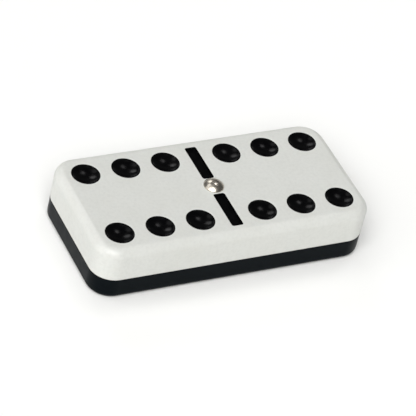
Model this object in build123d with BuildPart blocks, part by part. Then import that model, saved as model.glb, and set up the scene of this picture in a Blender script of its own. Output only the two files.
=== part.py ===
from build123d import *
import os

# Two-layer domino tile, double six, with a domed spinner pin at its centre.
# Millimetres. Origin at the centre of the underside, +X along the tile, +Z up through the face.

# Driving dimensions of the two layers
tile_length = 50.0
tile_width = 24.0
back_thickness = 4.0
face_thickness = 6.0
corner_radius = 4.0
face_edge_radius = 1.5
back_edge_radius = 1.0
seam_bevel = 0.12

# Pips: round dishes lined with an enamel film that is polished flush with the face
pips_on_left = 6
pips_on_right = 6
pip_diameter = 5.0
pip_depth = 0.8
pip_pitch = 7.25
pip_end_margin = 4.8
pip_film = 0.12

# Divider: two engraved bars across the tile, lined with the same enamel
bar_width = 2.1
bar_depth = 0.7
bar_end_margin = 2.15
bar_corner_radius = 0.35
bar_floor_radius = 0.3
bar_film = 0.15
bar_to_head_gap = 0.2

# Spinner pin: domed head on the face, round shank through both layers
head_diameter = 3.5
head_height = 0.95
head_rim = 0.15
shank_diameter = 1.6
shank_in_back = 2.2
shank_tip_chamfer = 0.3
pin_side_clearance = 0.02
pin_tip_clearance = 0.3

# Worked out from the driving dimensions
face_height = back_thickness + face_thickness
head_radius = head_diameter / 2
shank_radius = shank_diameter / 2
shank_tip_height = back_thickness - shank_in_back
pin_bore_radius = shank_radius + pin_side_clearance
pin_bore_floor = shank_tip_height - pin_tip_clearance
half_centre = tile_length / 2 - pip_end_margin - pip_pitch
pip_radius = pip_diameter / 2
dish_radius = (pip_radius**2 + pip_depth**2) / (2 * pip_depth)
dish_centre_height = face_height - pip_depth + dish_radius
bar_inner_end = head_radius + bar_to_head_gap
bar_outer_end = tile_width / 2 - bar_end_margin
bar_length = bar_outer_end - bar_inner_end
bar_centre = (bar_outer_end + bar_inner_end) / 2
dome_rise = head_height - head_rim
dome_radius = (head_radius**2 + dome_rise**2) / (2 * dome_rise)

# Where each value's pips stand, in pitches from the centre of their half: (along, across)
pip_patterns = {
    0: [],
    1: [(0, 0)],
    2: [(-1, 1), (1, -1)],
    3: [(-1, 1), (0, 0), (1, -1)],
    4: [(-1, 1), (1, 1), (-1, -1), (1, -1)],
    5: [(-1, 1), (1, 1), (0, 0), (-1, -1), (1, -1)],
    6: [(-1, 1), (0, 1), (1, 1), (-1, -1), (0, -1), (1, -1)],
}


def pip_centres(half, side, value):
    """Name and dish centre of each pip on one half of the tile."""
    return {
        f"pip_{half}_{number}": (
            side * half_centre + along * pip_pitch,
            across * pip_pitch,
            dish_centre_height,
        )
        for number, (along, across) in enumerate(pip_patterns[value], start=1)
    }


def bar_form(across, inset):
    """The solid that fills one engraved bar, shrunk on every side but the top by inset."""
    with BuildPart() as form:
        with BuildSketch(Plane.XY.offset(face_height)):
            with Locations((0, across)):
                RectangleRounded(
                    bar_width - 2 * inset, bar_length - 2 * inset, bar_corner_radius - inset
                )
        extrude(amount=inset - bar_depth)
        fillet(form.faces().sort_by(Axis.Z)[0].edges(), radius=bar_floor_radius - inset)
    return form.part


def save(piece, name):
    """Labels a finished piece and writes its STEP file."""
    piece.part.label = name
    export_step(piece.part, f"parts/{name}.step")


os.makedirs("parts", exist_ok=True)
pips = pip_centres("left", -1, pips_on_left) | pip_centres("right", 1, pips_on_right)
bars = {"divider_bar_front": -bar_centre, "divider_bar_rear": bar_centre}


# Back: the dark lower layer, with a blind bore for the end of the pin
with BuildPart() as back_slab:
    with BuildSketch(Plane.XY):
        RectangleRounded(tile_length, tile_width, corner_radius)
    extrude(amount=back_thickness)
    fillet(back_slab.faces().sort_by(Axis.Z)[0].edges(), radius=back_edge_radius)
    chamfer(back_slab.faces().sort_by(Axis.Z)[-1].edges(), length=seam_bevel)
    with BuildSketch(Plane.XY.offset(pin_bore_floor)):
        Circle(pin_bore_radius)
    extrude(amount=back_thickness - pin_bore_floor, mode=Mode.SUBTRACT)
save(back_slab, "back_slab")


# Face: the pale upper layer, with a through bore for the pin, its dishes and its engraved bars
bar_grooves = [bar_form(across, 0) for across in bars.values()]
with BuildPart() as face_slab:
    with BuildSketch(Plane.XY.offset(back_thickness)):
        RectangleRounded(tile_length, tile_width, corner_radius)
    extrude(amount=face_thickness)
    fillet(face_slab.faces().sort_by(Axis.Z)[-1].edges(), radius=face_edge_radius)
    chamfer(face_slab.faces().sort_by(Axis.Z)[0].edges(), length=seam_bevel)
    with BuildSketch(Plane.XY.offset(back_thickness)):
        Circle(pin_bore_radius)
    extrude(amount=face_thickness, mode=Mode.SUBTRACT)
    with Locations(*pips.values()):
        Sphere(dish_radius, mode=Mode.SUBTRACT)
    add(bar_grooves, mode=Mode.SUBTRACT)
save(face_slab, "face_slab")


# Pips: one film of enamel in each dish, of even thickness, cut off level with the face
for pip_name, dish_centre in pips.items():
    with BuildPart() as pip:
        with Locations(dish_centre):
            Sphere(dish_radius)
            Sphere(dish_radius - pip_film, mode=Mode.SUBTRACT)
        split(bisect_by=Plane.XY.offset(face_height), keep=Keep.BOTTOM)
    save(pip, pip_name)


# Divider bars: a lining of enamel in each groove, open at the top
for bar_name, across in bars.items():
    bar_outside = bar_form(across, 0)
    bar_inside = bar_form(across, bar_film)
    with BuildPart() as divider_bar:
        add(bar_outside)
        add(bar_inside, mode=Mode.SUBTRACT)
    save(divider_bar, bar_name)


# Spinner pin: turned in one piece, with a domed head that sits on the face
with BuildPart() as spinner_pin:
    with BuildSketch(Plane.XZ):
        with BuildLine():
            Polyline(
                (0, face_height + head_height),
                (0, shank_tip_height),
                (shank_radius - shank_tip_chamfer, shank_tip_height),
                (shank_radius, shank_tip_height + shank_tip_chamfer),
                (shank_radius, face_height),
                (head_radius, face_height),
                (head_radius, face_height + head_rim),
            )
            RadiusArc(
                (head_radius, face_height + head_rim), (0, face_height + head_height), -dome_radius
            )
        make_face()
    revolve(axis=Axis.Z)
save(spinner_pin, "spinner_pin")
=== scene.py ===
import bmesh
import bpy
import math
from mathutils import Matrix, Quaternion, Vector


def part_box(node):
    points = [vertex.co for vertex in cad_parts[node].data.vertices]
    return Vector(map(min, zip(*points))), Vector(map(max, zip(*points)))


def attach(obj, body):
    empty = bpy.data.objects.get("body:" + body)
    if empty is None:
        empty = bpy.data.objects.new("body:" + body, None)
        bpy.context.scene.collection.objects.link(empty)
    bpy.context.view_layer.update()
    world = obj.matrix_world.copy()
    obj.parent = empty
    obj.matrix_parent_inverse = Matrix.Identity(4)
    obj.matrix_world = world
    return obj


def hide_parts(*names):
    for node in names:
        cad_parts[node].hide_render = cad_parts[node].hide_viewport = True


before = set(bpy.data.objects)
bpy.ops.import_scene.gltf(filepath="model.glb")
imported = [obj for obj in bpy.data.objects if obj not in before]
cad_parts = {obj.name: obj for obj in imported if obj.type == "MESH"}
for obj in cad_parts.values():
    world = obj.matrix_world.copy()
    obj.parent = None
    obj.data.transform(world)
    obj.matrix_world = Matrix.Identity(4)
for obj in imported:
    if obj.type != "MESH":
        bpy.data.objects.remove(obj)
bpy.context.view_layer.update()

mm = 0.001  # Blender works in metres, and sizes in the dictionaries are millimetres unless they say
slack = 0.001 * mm  # how far two coordinates may differ and still count as the same
meshing = {
    "levelNormal": 0.99,  # a face whose normal points up by more than this is level
    "smoothAngle": 35.0,  # degrees; sharper edges stay sharp
    "faceWeight": 80,  # over 50, the larger of two faces has more say in the shading between them
}
faceLow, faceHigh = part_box("face_slab")
backLow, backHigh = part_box("back_slab")
pinLow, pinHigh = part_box("spinner_pin")
pipNames = sorted(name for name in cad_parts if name.startswith("pip_"))
barNames = sorted(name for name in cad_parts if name.startswith("divider_bar_"))
print("frame loaded:", len(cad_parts), "nodes")


# small helpers, used by every piece

def linear(hexColour):
    channels = [int(hexColour[i:i + 2], 16) / 255 for i in (1, 3, 5)]
    return [c / 12.92 if c <= 0.04045 else ((c + 0.055) / 1.055) ** 2.4 for c in channels] + [1.0]


def deselectAll():
    bpy.ops.object.select_all(action="DESELECT")


def makeActive(piece):
    deselectAll()
    piece.select_set(True)
    bpy.context.view_layer.objects.active = piece


def settle(name):
    # the new primitive's place goes into its mesh, so the object itself sits at the origin
    piece = bpy.context.object
    makeActive(piece)
    bpy.ops.object.transform_apply(location=True, rotation=True, scale=True)
    piece.name = name
    piece.data.name = name
    return piece


def addBlock(name, low, high):
    deselectAll()
    bpy.ops.mesh.primitive_cube_add(size=1, location=(low + high) / 2, scale=high - low)
    return settle(name)


def pick(piece, kind, wanted):
    # goes into edit mode with only the edges or faces that pass the test selected
    makeActive(piece)
    bpy.ops.object.mode_set(mode="EDIT")
    bpy.ops.mesh.select_mode(type="EDGE" if kind == "edges" else "FACE")
    bpy.ops.mesh.select_all(action="DESELECT")
    work = bmesh.from_edit_mesh(piece.data)
    for element in getattr(work, kind):
        element.select_set(wanted(element))
    bmesh.update_edit_mesh(piece.data)


def leaveEdit():
    bpy.ops.object.mode_set(mode="OBJECT")


def roundEdges(piece, wanted, radius, segments):
    pick(piece, "edges", wanted)
    bpy.ops.mesh.bevel(
        offset=radius, offset_type="OFFSET", segments=segments, profile=0.5, affect="EDGES")
    leaveEdit()


def isUpright(edge):
    a, b = (v.co for v in edge.verts)
    return math.hypot(a.x - b.x, a.y - b.y) < slack


def levelAt(height):
    return lambda edge: all(abs(v.co.z - height) < slack for v in edge.verts)


def looksUp(side):
    return side.normal.z > meshing["levelNormal"]


def turn(name, profile, segments):
    # a turned piece: the profile is (radius, height) pairs from its lower pole to its upper one
    deselectAll()
    radius, height = profile[1]
    bpy.ops.mesh.primitive_circle_add(vertices=segments, radius=radius, location=(0, 0, height))
    piece = settle(name)
    bpy.ops.object.mode_set(mode="EDIT")
    bpy.ops.mesh.select_mode(type="EDGE")
    bpy.ops.mesh.select_all(action="SELECT")
    for nextRadius, nextHeight in profile[2:-1]:
        lift = (0, 0, nextHeight - height)
        bpy.ops.mesh.extrude_region_move(TRANSFORM_OT_translate={"value": lift})
        grow = nextRadius / radius
        bpy.ops.transform.resize(value=(grow, grow, 1), center_override=(0, 0, nextHeight))
        radius, height = nextRadius, nextHeight
    # the open ring at the top is drawn to its pole, and then the one at the bottom
    for poleHeight, ringHeight in ((profile[-1][1], height), (profile[0][1], profile[1][1])):
        lift = (0, 0, poleHeight - ringHeight)
        bpy.ops.mesh.extrude_region_move(TRANSFORM_OT_translate={"value": lift})
        bpy.ops.mesh.merge(type="CENTER")
        bpy.ops.mesh.select_all(action="DESELECT")
        bpy.ops.mesh.select_non_manifold()
    bpy.ops.mesh.select_all(action="SELECT")
    bpy.ops.mesh.normals_make_consistent(inside=False)
    leaveEdit()
    return piece


def copyPiece(piece, name, move):
    # a copy with its own mesh, moved inside that mesh
    twin = piece.copy()
    twin.data = piece.data.copy()
    bpy.context.collection.objects.link(twin)
    twin.name = name
    twin.data.name = name
    makeActive(twin)
    bpy.ops.transform.translate(value=move)
    bpy.ops.object.transform_apply(location=True, rotation=False, scale=False)
    return twin


def cutOut(piece, cutters):
    # the cutters are joined first, so that one boolean cuts them all
    deselectAll()
    for cutter in cutters:
        cutter.select_set(True)
    bpy.context.view_layer.objects.active = cutters[0]
    if len(cutters) > 1:
        bpy.ops.object.join()
    makeActive(piece)
    cut = piece.modifiers.new("cut", "BOOLEAN")
    cut.operation = "DIFFERENCE"
    cut.solver = "EXACT"
    cut.object = cutters[0]
    bpy.ops.object.modifier_apply(modifier=cut.name)
    bpy.data.objects.remove(cutters[0])


def smooth(piece):
    makeActive(piece)
    bpy.ops.object.shade_smooth_by_angle(angle=math.radians(meshing["smoothAngle"]))
    weigh = piece.modifiers.new("weigh", "WEIGHTED_NORMAL")
    weigh.keep_sharp = True
    weigh.weight = meshing["faceWeight"]
    bpy.ops.object.modifier_apply(modifier=weigh.name)


def finishPiece(piece, node, material):
    piece.data.materials.clear()
    piece.data.materials.append(material)
    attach(piece, "root")
    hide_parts(node)
    deselectAll()


def addNode(tree, kind, settings, inputs):
    # a link where the value is another node's socket, and otherwise a setting on the socket
    node = tree.nodes.new(kind)
    for name, value in settings.items():
        setattr(node, name, value)
    for name, value in inputs.items():
        if isinstance(value, bpy.types.NodeSocket):
            tree.links.new(value, node.inputs[name])
        else:
            node.inputs[name].default_value = value
    return node


def newMaterial(name):
    material = bpy.data.materials.new(name)
    material.use_nodes = True
    material.node_tree.nodes.clear()
    return material, material.node_tree


noiseMiddle = 0.5
noiseSpan = (0.3, 0.7)  # nearly all of a noise lies between these


def addHairlines(tree, place, size, stretch, angle, width):
    # fine scores: the thin level lines of a noise that is pulled out along one direction
    pulled = addNode(tree, "ShaderNodeMapping", {}, {
        "Vector": place, "Rotation": (0, 0, math.radians(angle)), "Scale": (1.0, stretch, 1.0)})
    strands = addNode(tree, "ShaderNodeTexNoise", {}, {
        "Vector": pulled.outputs["Vector"], "Scale": 1 / (size * mm), "Detail": 3.0, "Roughness": 0.6})
    offLevel = addNode(tree, "ShaderNodeMath", {"operation": "SUBTRACT"}, {
        0: strands.outputs["Fac"], 1: noiseMiddle})
    away = addNode(tree, "ShaderNodeMath", {"operation": "ABSOLUTE"}, {0: offLevel.outputs[0]})
    lines = addNode(tree, "ShaderNodeMapRange", {}, {
        "Value": away.outputs[0], "From Min": 0.0, "From Max": width, "To Min": 1.0, "To Max": 0.0})
    return lines.outputs["Result"]


# Urea resin, compression moulded and tumble-polished: a dense, faintly warm white with a satin
# skin, slightly cloudy in depth, with a soft ripple and the hairlines of tiles rubbed together
whiteResin = {
    "colour": "#D7D8D4",
    "cloud": "#CECFC9",
    "cloudSize": 7.0,
    "grain": "#C4C5C0",
    "grainSize": 0.55,  # the filler's grain is finer than this, and drawn coarse enough to show
    "grainCut": (0.42, 0.72),
    "grainAmount": 0.35,
    "jointGrimeAndShade": "#8F8C82",  # the darker line at the joint of the two layers: partly dirt that gathers there, partly painted shade of the groove
    "jointGrimeAndShadeReach": 0.22,
    "jointGrimeAndShadeAmount": 0.7,
    "roughness": (0.32, 0.44),
    "ripple": 1.4,
    "rippleDepth": 0.004,
    "hairlineSize": 3.0,
    "hairlineStretch": 9.0,
    "hairlineAngle": 28.0,
    "hairlineWidth": 0.012,
    "hairlineDepth": 0.003,
    "ior": 1.54,
    "glow": 0.12,
    "glowDepth": 0.4,
    "glowTint": (1.0, 0.9, 0.8),  # red light goes deepest
}


def makeWhiteResin():
    material, tree = newMaterial("urea_resin_white_tumbled")
    place = addNode(tree, "ShaderNodeTexCoord", {}, {}).outputs["Object"]
    cloud = addNode(tree, "ShaderNodeTexNoise", {}, {
        "Vector": place, "Scale": 1 / (whiteResin["cloudSize"] * mm), "Detail": 3.0, "Roughness": 0.55})
    grain = addNode(tree, "ShaderNodeTexNoise", {}, {
        "Vector": place, "Scale": 1 / (whiteResin["grainSize"] * mm), "Detail": 2.0, "Roughness": 0.6})
    grainMask = addNode(tree, "ShaderNodeMapRange", {}, {
        "Value": grain.outputs["Fac"],
        "From Min": whiteResin["grainCut"][0], "From Max": whiteResin["grainCut"][1],
        "To Min": 0.0, "To Max": whiteResin["grainAmount"]})
    clouded = addNode(tree, "ShaderNodeMix", {"data_type": "RGBA"}, {
        0: cloud.outputs["Fac"], 6: linear(whiteResin["colour"]), 7: linear(whiteResin["cloud"])})
    grained = addNode(tree, "ShaderNodeMix", {"data_type": "RGBA"}, {
        0: grainMask.outputs["Result"], 6: clouded.outputs[2], 7: linear(whiteResin["grain"])})
    ripple = addNode(tree, "ShaderNodeTexNoise", {}, {
        "Vector": place, "Scale": 1 / (whiteResin["ripple"] * mm), "Detail": 2.0, "Roughness": 0.4})
    skin = addNode(tree, "ShaderNodeMapRange", {}, {
        "Value": ripple.outputs["Fac"], "From Min": noiseSpan[0], "From Max": noiseSpan[1],
        "To Min": whiteResin["roughness"][0], "To Max": whiteResin["roughness"][1]})
    hairlines = addHairlines(tree, place, whiteResin["hairlineSize"], whiteResin["hairlineStretch"],
                             whiteResin["hairlineAngle"], whiteResin["hairlineWidth"])
    waves = addNode(tree, "ShaderNodeBump", {}, {
        "Strength": 1.0, "Distance": whiteResin["rippleDepth"] * mm, "Height": ripple.outputs["Fac"]})
    scored = addNode(tree, "ShaderNodeBump", {}, {
        "Strength": 1.0, "Distance": -whiteResin["hairlineDepth"] * mm, "Height": hairlines,
        "Normal": waves.outputs["Normal"]})
    height = addNode(tree, "ShaderNodeSeparateXYZ", {}, {0: place}).outputs["Z"]
    # dirt and painted shade: the white is mixed toward a warm grey just above its underside, where it
    # meets the back layer
    jointGrimeAndShadeMask = addNode(tree, "ShaderNodeMapRange", {"interpolation_type": "SMOOTHSTEP"}, {
        "Value": height, "From Min": faceLow.z, "From Max": faceLow.z + whiteResin["jointGrimeAndShadeReach"] * mm,
        "To Min": whiteResin["jointGrimeAndShadeAmount"], "To Max": 0.0})
    jointDarkened = addNode(tree, "ShaderNodeMix", {"data_type": "RGBA"}, {
        0: jointGrimeAndShadeMask.outputs["Result"], 6: grained.outputs[2], 7: linear(whiteResin["jointGrimeAndShade"])})
    shader = addNode(tree, "ShaderNodeBsdfPrincipled", {}, {
        "Base Color": jointDarkened.outputs[2], "Roughness": skin.outputs["Result"],
        "Normal": scored.outputs["Normal"], "IOR": whiteResin["ior"],
        "Subsurface Weight": whiteResin["glow"], "Subsurface Scale": whiteResin["glowDepth"] * mm,
        "Subsurface Radius": whiteResin["glowTint"]})
    addNode(tree, "ShaderNodeOutputMaterial", {}, {"Surface": shader.outputs["BSDF"]})
    return material


# The same resin with carbon black in it: a deep, slightly cool black, satin and barely mirroring,
# with the pale scuffs on its underside that sliding over a table leaves
blackResin = {
    "colour": "#03070A",
    "dusty": "#070B0F",
    "sheen": "#BCD0DC",
    "ripple": 1.3,
    "rippleDepth": 0.004,
    "roughness": (0.30, 0.42),
    "specular": 0.06,
    "ior": 1.54,
    "scuff": "#30353A",
    "scuffSize": 11.0,
    "scuffStretch": 8.0,
    "scuffAngle": -17.0,
    "scuffWidth": 0.006,
    "scuffReach": 0.5,
    "scuffAmount": 0.5,
}


def makeBlackResin():
    material, tree = newMaterial("urea_resin_black_tumbled")
    place = addNode(tree, "ShaderNodeTexCoord", {}, {}).outputs["Object"]
    ripple = addNode(tree, "ShaderNodeTexNoise", {}, {
        "Vector": place, "Scale": 1 / (blackResin["ripple"] * mm), "Detail": 3.0, "Roughness": 0.5})
    tint = addNode(tree, "ShaderNodeMix", {"data_type": "RGBA"}, {
        0: ripple.outputs["Fac"], 6: linear(blackResin["colour"]), 7: linear(blackResin["dusty"])})
    scuffs = addHairlines(tree, place, blackResin["scuffSize"], blackResin["scuffStretch"],
                          blackResin["scuffAngle"], blackResin["scuffWidth"])
    height = addNode(tree, "ShaderNodeSeparateXYZ", {}, {0: place}).outputs["Z"]
    underside = addNode(tree, "ShaderNodeMapRange", {"interpolation_type": "SMOOTHSTEP"}, {
        "Value": height, "From Min": backLow.z, "From Max": backLow.z + blackResin["scuffReach"] * mm,
        "To Min": blackResin["scuffAmount"], "To Max": 0.0})
    rubbed = addNode(tree, "ShaderNodeMath", {"operation": "MULTIPLY"}, {
        0: scuffs, 1: underside.outputs["Result"]})
    worn = addNode(tree, "ShaderNodeMix", {"data_type": "RGBA"}, {
        0: rubbed.outputs[0], 6: tint.outputs[2], 7: linear(blackResin["scuff"])})
    skin = addNode(tree, "ShaderNodeMapRange", {}, {
        "Value": ripple.outputs["Fac"], "From Min": noiseSpan[0], "From Max": noiseSpan[1],
        "To Min": blackResin["roughness"][0], "To Max": blackResin["roughness"][1]})
    relief = addNode(tree, "ShaderNodeBump", {}, {
        "Strength": 1.0, "Distance": blackResin["rippleDepth"] * mm, "Height": ripple.outputs["Fac"]})
    shader = addNode(tree, "ShaderNodeBsdfPrincipled", {}, {
        "Base Color": worn.outputs[2], "Roughness": skin.outputs["Result"],
        "Normal": relief.outputs["Normal"], "IOR": blackResin["ior"],
        "Specular IOR Level": blackResin["specular"], "Specular Tint": linear(blackResin["sheen"])})
    addNode(tree, "ShaderNodeOutputMaterial", {}, {"Surface": shader.outputs["BSDF"]})
    return material


# Stoving enamel, dabbed into the dishes and dried to a film: a deep black with a soft gloss and
# slow pulls in it
enamel = {
    "colour": "#030304",
    "thin": "#070708",
    "pull": 0.9,
    "pullDepth": 0.006,
    "roughness": (0.16, 0.26),
    "specular": 0.09,
    "ior": 1.5,
}


def makeEnamel():
    material, tree = newMaterial("enamel_black_gloss")
    place = addNode(tree, "ShaderNodeTexCoord", {}, {}).outputs["Object"]
    pull = addNode(tree, "ShaderNodeTexNoise", {}, {
        "Vector": place, "Scale": 1 / (enamel["pull"] * mm), "Detail": 2.0, "Roughness": 0.45})
    tint = addNode(tree, "ShaderNodeMix", {"data_type": "RGBA"}, {
        0: pull.outputs["Fac"], 6: linear(enamel["colour"]), 7: linear(enamel["thin"])})
    skin = addNode(tree, "ShaderNodeMapRange", {}, {
        "Value": pull.outputs["Fac"], "From Min": noiseSpan[0], "From Max": noiseSpan[1],
        "To Min": enamel["roughness"][0], "To Max": enamel["roughness"][1]})
    relief = addNode(tree, "ShaderNodeBump", {}, {
        "Strength": 1.0, "Distance": enamel["pullDepth"] * mm, "Height": pull.outputs["Fac"]})
    shader = addNode(tree, "ShaderNodeBsdfPrincipled", {}, {
        "Base Color": tint.outputs[2], "Roughness": skin.outputs["Result"],
        "Normal": relief.outputs["Normal"], "IOR": enamel["ior"],
        "Specular IOR Level": enamel["specular"]})
    addNode(tree, "ShaderNodeOutputMaterial", {}, {"Surface": shader.outputs["BSDF"]})
    return material


# Nickel plate on a turned brass pin: a warm grey mirror, with faint rings from the turning tool
nickel = {
    "colour": "#DAD4C8",
    "dull": "#BDB5A8",
    "patinaSize": 0.8,
    "ringPitch": 0.25,  # the tool's rings are finer, and drawn coarse enough to show
    "ringDepth": 0.001,
    "roughness": (0.24, 0.34),
}
waveTurn = 20 / math.tau  # the rings that a wave texture of scale 1 draws in one unit


def makeNickel():
    material, tree = newMaterial("nickel_plate_polished")
    place = addNode(tree, "ShaderNodeTexCoord", {}, {}).outputs["Object"]
    rings = addNode(tree, "ShaderNodeTexWave", {"wave_type": "RINGS", "rings_direction": "Z"}, {
        "Vector": place, "Scale": 1 / (waveTurn * nickel["ringPitch"] * mm),
        "Distortion": 0.4, "Detail": 1.0})
    patina = addNode(tree, "ShaderNodeTexNoise", {}, {
        "Vector": place, "Scale": 1 / (nickel["patinaSize"] * mm), "Detail": 4.0, "Roughness": 0.6})
    tint = addNode(tree, "ShaderNodeMix", {"data_type": "RGBA"}, {
        0: patina.outputs["Fac"], 6: linear(nickel["colour"]), 7: linear(nickel["dull"])})
    skin = addNode(tree, "ShaderNodeMapRange", {}, {
        "Value": patina.outputs["Fac"], "From Min": noiseSpan[0], "From Max": noiseSpan[1],
        "To Min": nickel["roughness"][0], "To Max": nickel["roughness"][1]})
    relief = addNode(tree, "ShaderNodeBump", {}, {
        "Strength": 1.0, "Distance": nickel["ringDepth"] * mm, "Height": rings.outputs["Fac"]})
    shader = addNode(tree, "ShaderNodeBsdfPrincipled", {}, {
        "Base Color": tint.outputs[2], "Roughness": skin.outputs["Result"], "Metallic": 1.0,
        "Normal": relief.outputs["Normal"]})
    addNode(tree, "ShaderNodeOutputMaterial", {}, {"Surface": shader.outputs["BSDF"]})
    return material


whiteResinSkin = makeWhiteResin()
blackResinSkin = makeBlackResin()
enamelSkin = makeEnamel()
nickelSkin = makeNickel()
print("materials made")


# the spinner pin: a shank through the face layer and into the back one, and a domed head that
# seats on the face
spinnerPin = {
    "shankRadius": 0.8,
    "tipChamfer": 0.3,
    "headRim": 0.15,
    "rimRound": 0.06,
    "rimSegments": 3,
    "domeRings": 18,
    "segments": 96,
    "sideClearance": 0.02,
    "tipClearance": 0.3,
    "boreSegments": 48,
}


def makePin():
    headRadius = (pinHigh.x - pinLow.x) / 2
    shank = spinnerPin["shankRadius"] * mm
    chamfer = spinnerPin["tipChamfer"] * mm
    rimTop = faceHigh.z + spinnerPin["headRim"] * mm
    rise = pinHigh.z - rimTop
    dome = (headRadius ** 2 + rise ** 2) / (2 * rise)
    spread = math.asin(headRadius / dome)
    profile = [(0, pinLow.z), (shank - chamfer, pinLow.z), (shank, pinLow.z + chamfer),
               (shank, faceHigh.z), (headRadius, faceHigh.z), (headRadius, rimTop)]
    for ring in range(1, spinnerPin["domeRings"]):
        lean = spread * (1 - ring / spinnerPin["domeRings"])
        profile.append((dome * math.sin(lean), pinHigh.z - dome * (1 - math.cos(lean))))
    profile.append((0, pinHigh.z))
    pin = turn("spinner_pin_turned", profile, spinnerPin["segments"])
    roundEdges(pin, levelAt(rimTop), spinnerPin["rimRound"] * mm, spinnerPin["rimSegments"])
    return pin


def pinBore():
    radius = (spinnerPin["shankRadius"] + spinnerPin["sideClearance"]) * mm
    bottom = pinLow.z - spinnerPin["tipClearance"] * mm
    top = pinHigh.z
    deselectAll()
    bpy.ops.mesh.primitive_cylinder_add(
        vertices=spinnerPin["boreSegments"], radius=radius, depth=top - bottom,
        location=(0, 0, (top + bottom) / 2))
    return settle("bore")


pin = makePin()
smooth(pin)
finishPiece(pin, "spinner_pin", nickelSkin)
print("spinner pin:", len(pin.data.polygons), "faces")


# the enamel in the dishes: one lining is turned, and copied to each pip's place
pipEnamel = {
    "film": 0.12,
    "belowFace": 0.03,
    "lipRound": 0.045,
    "lipSegments": 3,
    "rimSlack": 0.01,  # how far from the inner rim an edge may be and still be part of the lip
    "rings": 14,
    "segments": 96,
    "cutterRise": 0.5,  # how far above the face the cutter of a dish reaches
    "cutterRings": 18,
}

pipLow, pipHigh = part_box(pipNames[0])
pipRadius = (pipHigh.x - pipLow.x) / 2
pipDepth = pipHigh.z - pipLow.z
dishBall = (pipRadius ** 2 + pipDepth ** 2) / (2 * pipDepth)  # the sphere that the dish is a cap of
dishCentre = faceHigh.z - pipDepth + dishBall


def capProfile(ball, top, rings):
    # from the pole of a sphere about the dish's centre up to a height
    spread = math.acos((dishCentre - top) / ball)
    leans = [spread * ring / rings for ring in range(rings + 1)]
    return [(ball * math.sin(lean), dishCentre - ball * math.cos(lean)) for lean in leans]


def makePip():
    top = faceHigh.z - pipEnamel["belowFace"] * mm
    outside = capProfile(dishBall, top, pipEnamel["rings"])
    inside = capProfile(dishBall - pipEnamel["film"] * mm, top, pipEnamel["rings"])
    innerRim = inside[-1][0]

    def isLip(edge):
        return levelAt(top)(edge) and all(
            abs(math.hypot(v.co.x, v.co.y) - innerRim) < pipEnamel["rimSlack"] * mm for v in edge.verts)

    pip = turn("pip_enamel", outside + inside[::-1], pipEnamel["segments"])
    roundEdges(pip, isLip, pipEnamel["lipRound"] * mm, pipEnamel["lipSegments"])
    return pip


def pipPlace(name):
    low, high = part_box(name)
    return Vector(((low.x + high.x) / 2, (low.y + high.y) / 2, 0))


pipModel = makePip()
smooth(pipModel)
for name in pipNames:
    finishPiece(copyPiece(pipModel, name + "_enamel", pipPlace(name)), name, enamelSkin)
bpy.data.objects.remove(pipModel)
print("pips:", len(pipNames))


# the enamel in the engraved bars: a lining with a trough in it, the same at both sides of the pin
barEnamel = {
    "cornerRadius": 0.35,
    "floorRadius": 0.3,
    "segments": 6,
    "film": 0.15,
    "belowFace": 0.03,
    "troughSegments": 5,
    "lipRound": 0.045,
    "lipSegments": 2,
}


def barBlock(name, top):
    low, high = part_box(name)
    block = addBlock(name + "_enamel", low, Vector((high.x, high.y, top)))
    roundEdges(block, isUpright, barEnamel["cornerRadius"] * mm, barEnamel["segments"])
    roundEdges(block, levelAt(low.z), barEnamel["floorRadius"] * mm, barEnamel["segments"])
    return block


def makeBar(name):
    low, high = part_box(name)
    film = barEnamel["film"] * mm
    top = faceHigh.z - barEnamel["belowFace"] * mm
    floor = low.z + film
    troughRound = (barEnamel["floorRadius"] - barEnamel["film"]) * mm
    sides = film / 2  # halfway through the lining, to tell the trough's edges from the outer ones

    def inTrough(edge, height):
        # an edge of the trough has a level face beside it, which the rounding outside has not
        if not levelAt(height)(edge) or not any(looksUp(side) for side in edge.link_faces):
            return False
        return all(low.x + sides < v.co.x < high.x - sides and low.y + sides < v.co.y < high.y - sides
                   for v in edge.verts)

    bar = barBlock(name, top)
    pick(bar, "faces", looksUp)
    bpy.ops.mesh.inset(thickness=film)
    bpy.ops.mesh.extrude_region_move(TRANSFORM_OT_translate={"value": (0, 0, floor - top)})
    leaveEdit()
    roundEdges(bar, lambda edge: inTrough(edge, floor), troughRound, barEnamel["troughSegments"])
    roundEdges(bar, lambda edge: inTrough(edge, top), barEnamel["lipRound"] * mm, barEnamel["lipSegments"])
    return bar


for name in barNames:
    bar = makeBar(name)
    smooth(bar)
    finishPiece(bar, name, enamelSkin)
print("divider bars:", len(barNames))


# the face layer, which carries the dishes, the bars' grooves and the bore
faceLayer = {
    "cornerRadius": 4.0,
    "cornerSegments": 20,
    "edgeRadius": 1.5,
    "edgeSegments": 10,
    "seamBevel": 0.12,
    "seamSegments": 2,
    "rimRound": 0.06,
    "rimSegments": 3,
    "rimAngle": 20.0,  # degrees
}


def isRim(edge):
    # the sharp edges round the dishes, the bars and the bore, not the soft edge of the face
    if not levelAt(faceHigh.z)(edge) or len(edge.link_faces) != 2:
        return False
    return edge.calc_face_angle() > math.radians(faceLayer["rimAngle"])


def dishCutters():
    above = faceHigh.z + pipEnamel["cutterRise"] * mm
    profile = capProfile(dishBall, above, pipEnamel["cutterRings"])
    cutter = turn("dish", profile + [(0, above)], pipEnamel["segments"])
    cutters = [copyPiece(cutter, "dish", pipPlace(name)) for name in pipNames]
    bpy.data.objects.remove(cutter)
    return cutters


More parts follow.
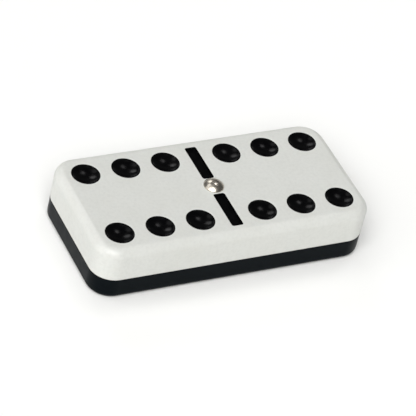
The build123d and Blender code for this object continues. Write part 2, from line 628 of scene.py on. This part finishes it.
face = addBlock("face_layer", faceLow, faceHigh)
roundEdges(face, isUpright, faceLayer["cornerRadius"] * mm, faceLayer["cornerSegments"])
roundEdges(face, levelAt(faceHigh.z), faceLayer["edgeRadius"] * mm, faceLayer["edgeSegments"])
roundEdges(face, levelAt(faceLow.z), faceLayer["seamBevel"] * mm, faceLayer["seamSegments"])
cutOut(face, dishCutters() + [barBlock(name, pinHigh.z) for name in barNames] + [pinBore()])
roundEdges(face, isRim, faceLayer["rimRound"] * mm, faceLayer["rimSegments"])
smooth(face)
finishPiece(face, "face_slab", whiteResinSkin)
print("face layer:", len(face.data.polygons), "faces")


# the back layer, whose corners and joint follow the face layer's
backLayer = {
    "edgeRadius": 1.0,
    "edgeSegments": 8,
}

back = addBlock("back_layer", backLow, backHigh)
roundEdges(back, isUpright, faceLayer["cornerRadius"] * mm, faceLayer["cornerSegments"])
roundEdges(back, levelAt(backLow.z), backLayer["edgeRadius"] * mm, backLayer["edgeSegments"])
roundEdges(back, levelAt(backHigh.z), faceLayer["seamBevel"] * mm, faceLayer["seamSegments"])
cutOut(back, [pinBore()])
smooth(back)
finishPiece(back, "back_slab", blackResinSkin)
print("back layer:", len(back.data.polygons), "faces")


# the floor, the light and the camera
studio = {
    "floor": "#F7F7F5",
    "floorRoughness": 0.9,
    "floorSpecular": 0.1,
    "floorSize": 6.0,  # metres
    "floorGap": 0.02,  # keeps the floor's plane clear of the tile's underside
    "room": 0.10,
    "cove": 0.98,
    "coveHeight": (0.04, 0.12),  # the sines of the heights where the cove starts to dim and ends
}
camera = {
    "azimuth": -33.9,
    "elevation": 40.3,
    "distance": 0.434,  # metres
    "roll": 14.4,
    "lens": 225.0,
    "clipStart": 0.01,  # metres
}
# a lamp is the direction it stands in, the angle it spans in degrees and its strength; it stands
# far off, so that the floor is lit evenly out to the cove
lamps = {
    "rightTop": ((0.40, 0.30, 0.87), 14, 0.26),
    "left": ((-0.84, 0.0, 0.54), 54, 0.65),
    "leftBack": ((-0.39, 0.39, 0.83), 24, 0.25),
    "back": ((0.03, 0.81, 0.58), 18, 0.32),
    "frontKey": ((-0.38, -0.52, 0.76), 50, 2.8),
}


def makeFloor():
    height = backLow.z - studio["floorGap"] * mm
    deselectAll()
    bpy.ops.mesh.primitive_plane_add(size=studio["floorSize"], location=(0, 0, height))
    floor = settle("floor")
    material, tree = newMaterial("painted_board_pale")
    shader = addNode(tree, "ShaderNodeBsdfPrincipled", {}, {
        "Base Color": linear(studio["floor"]), "Roughness": studio["floorRoughness"],
        "Specular IOR Level": studio["floorSpecular"]})
    addNode(tree, "ShaderNodeOutputMaterial", {}, {"Surface": shader.outputs["BSDF"]})
    floor.data.materials.append(material)


def makeWorld():
    # a dim room above a pale cove that the floor runs up into
    world = bpy.data.worlds.new("studio")
    world.use_nodes = True
    tree = world.node_tree
    tree.nodes.clear()
    direction = addNode(tree, "ShaderNodeTexCoord", {}, {}).outputs["Generated"]
    height = addNode(tree, "ShaderNodeSeparateXYZ", {}, {0: direction}).outputs["Z"]
    glow = addNode(tree, "ShaderNodeMapRange", {"interpolation_type": "SMOOTHSTEP"}, {
        "Value": height, "From Min": studio["coveHeight"][0], "From Max": studio["coveHeight"][1],
        "To Min": studio["cove"], "To Max": studio["room"]})
    wall = addNode(tree, "ShaderNodeBackground", {}, {
        "Color": (1, 1, 1, 1), "Strength": glow.outputs["Result"]})
    addNode(tree, "ShaderNodeOutputWorld", {}, {"Surface": wall.outputs[0]})
    bpy.context.scene.world = world


aim = Vector((0, 0, (backLow.z + faceHigh.z) / 2))  # the middle of the tile


def pointAt(thing, line):
    # turns a lamp or the camera so that it looks back along the line from the tile to it
    thing.rotation_mode = "QUATERNION"
    thing.rotation_quaternion = (-line).to_track_quat("-Z", "Y")


def makeLamp(name, direction, span, strength):
    line = Vector(direction).normalized()
    deselectAll()
    bpy.ops.object.light_add(type="SUN", location=aim + line)
    lamp = bpy.context.object
    lamp.name = name
    pointAt(lamp, line)
    lamp.data.angle = math.radians(span)
    lamp.data.energy = strength


def makeCamera():
    turned = math.radians(camera["azimuth"])
    rise = math.radians(camera["elevation"])
    flat = math.cos(rise)
    line = Vector((math.sin(turned) * flat, -math.cos(turned) * flat, math.sin(rise)))
    roll = Quaternion((0, 0, 1), math.radians(camera["roll"]))
    deselectAll()
    bpy.ops.object.camera_add(location=aim + line * camera["distance"])
    eye = bpy.context.object
    pointAt(eye, line)
    eye.rotation_quaternion = eye.rotation_quaternion @ roll
    eye.data.lens = camera["lens"]
    eye.data.clip_start = camera["clipStart"]
    bpy.context.scene.camera = eye


makeFloor()
makeWorld()
for name, settings in lamps.items():
    makeLamp(name, *settings)
makeCamera()
bpy.context.scene.view_settings.view_transform = "Standard"
print("studio ready")
